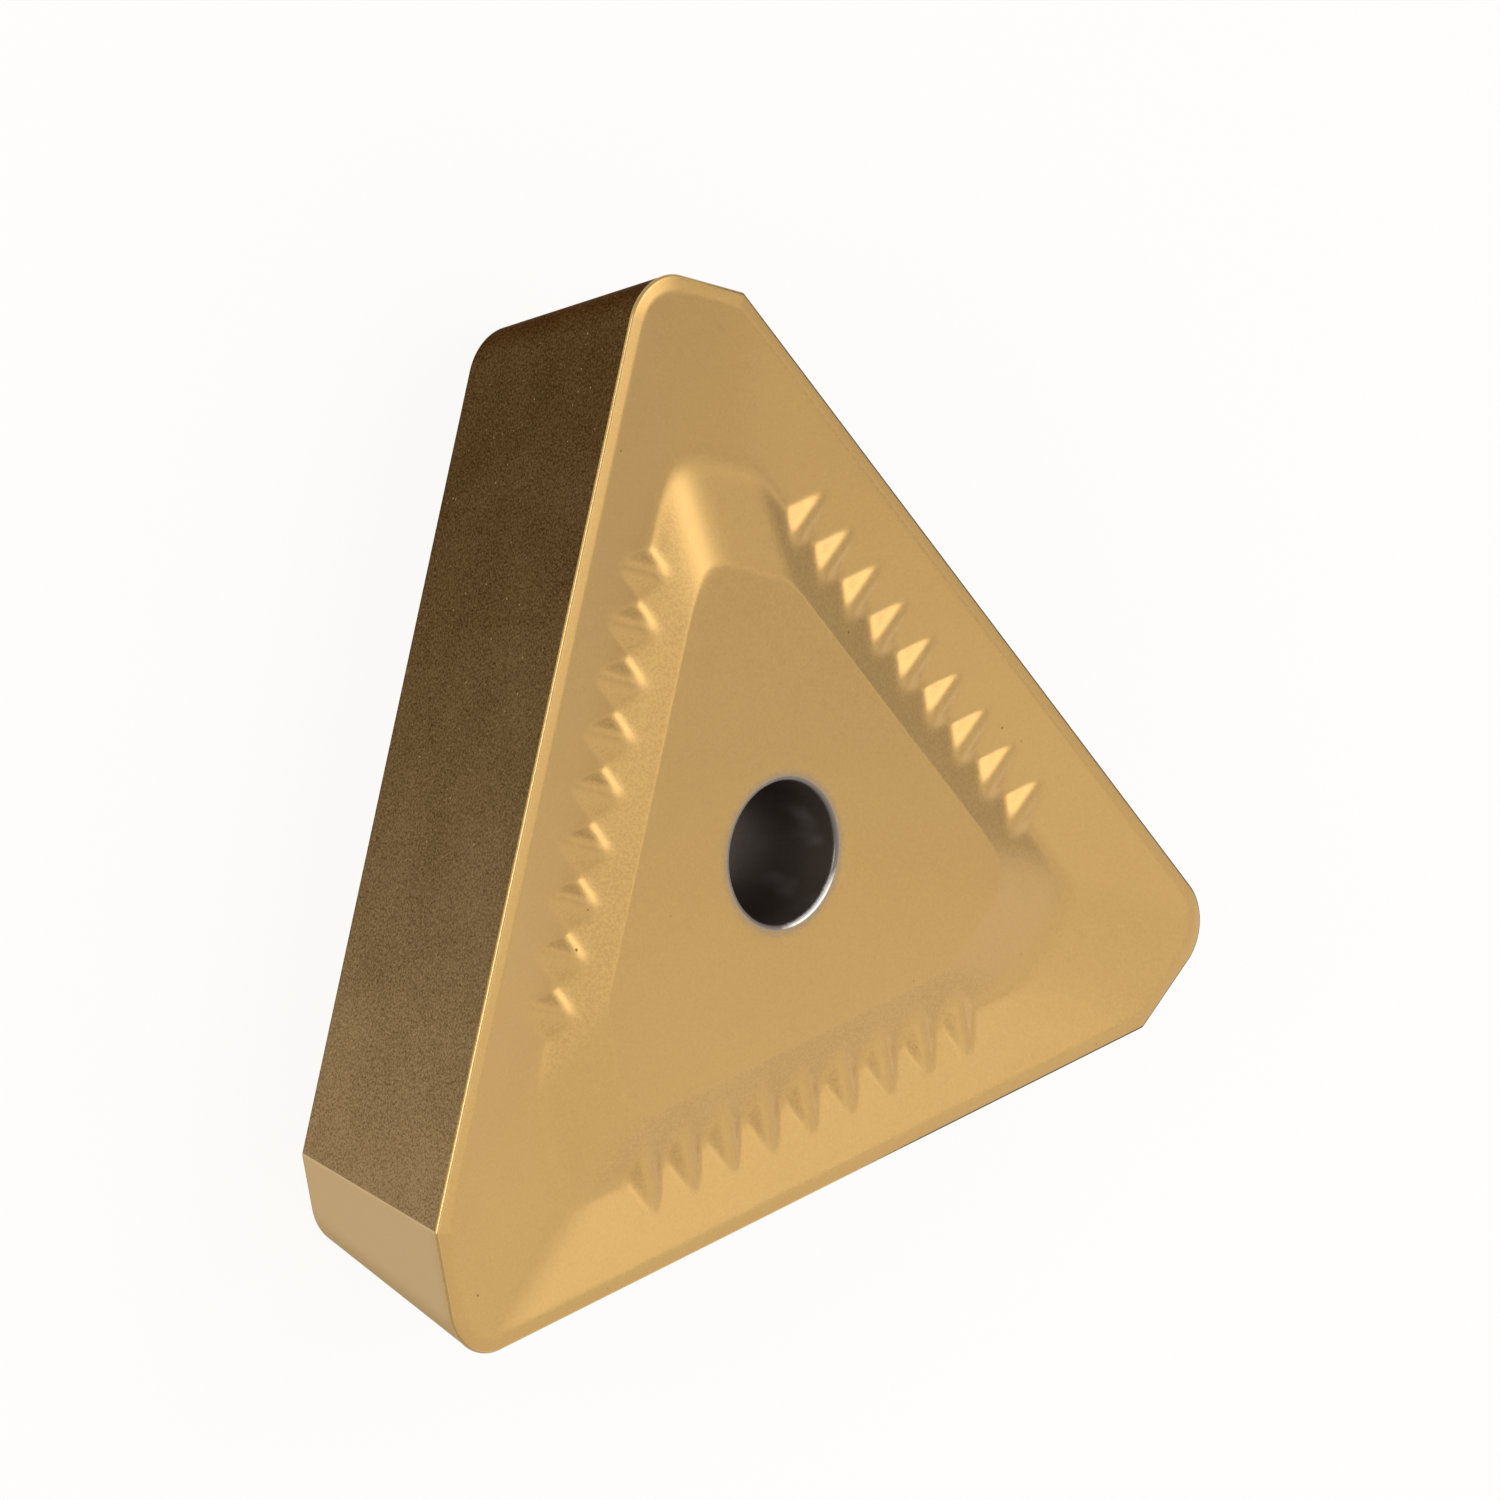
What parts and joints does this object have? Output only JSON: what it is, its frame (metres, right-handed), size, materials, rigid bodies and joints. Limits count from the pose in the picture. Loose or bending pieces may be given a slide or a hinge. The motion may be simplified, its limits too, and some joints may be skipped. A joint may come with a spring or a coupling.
{
  "type": "carbide milling insert",
  "caption": "Triangular milling insert with wiper corners, a pressed chip-breaking top and a small central clamping hole.",
  "frame": {"origin": "centre of the clamping hole in the plane of the back face, which is the face the insert lies on", "axes": "+Z along the clamping hole, from the back face towards the pressed cutting side; +Y towards one of the three corners, so that the main cutting edges face 30, 150 and 270 degrees from +X and the short wiper edges face 60, 180 and 300 degrees"},
  "size_m": [0.0194, 0.0173, 0.0049],
  "materials": {
    "coated_carbide": "satin"
  },
  "bodies": {
    "root": {"insert_body": "coated_carbide"}
  },
  "joints": []
}
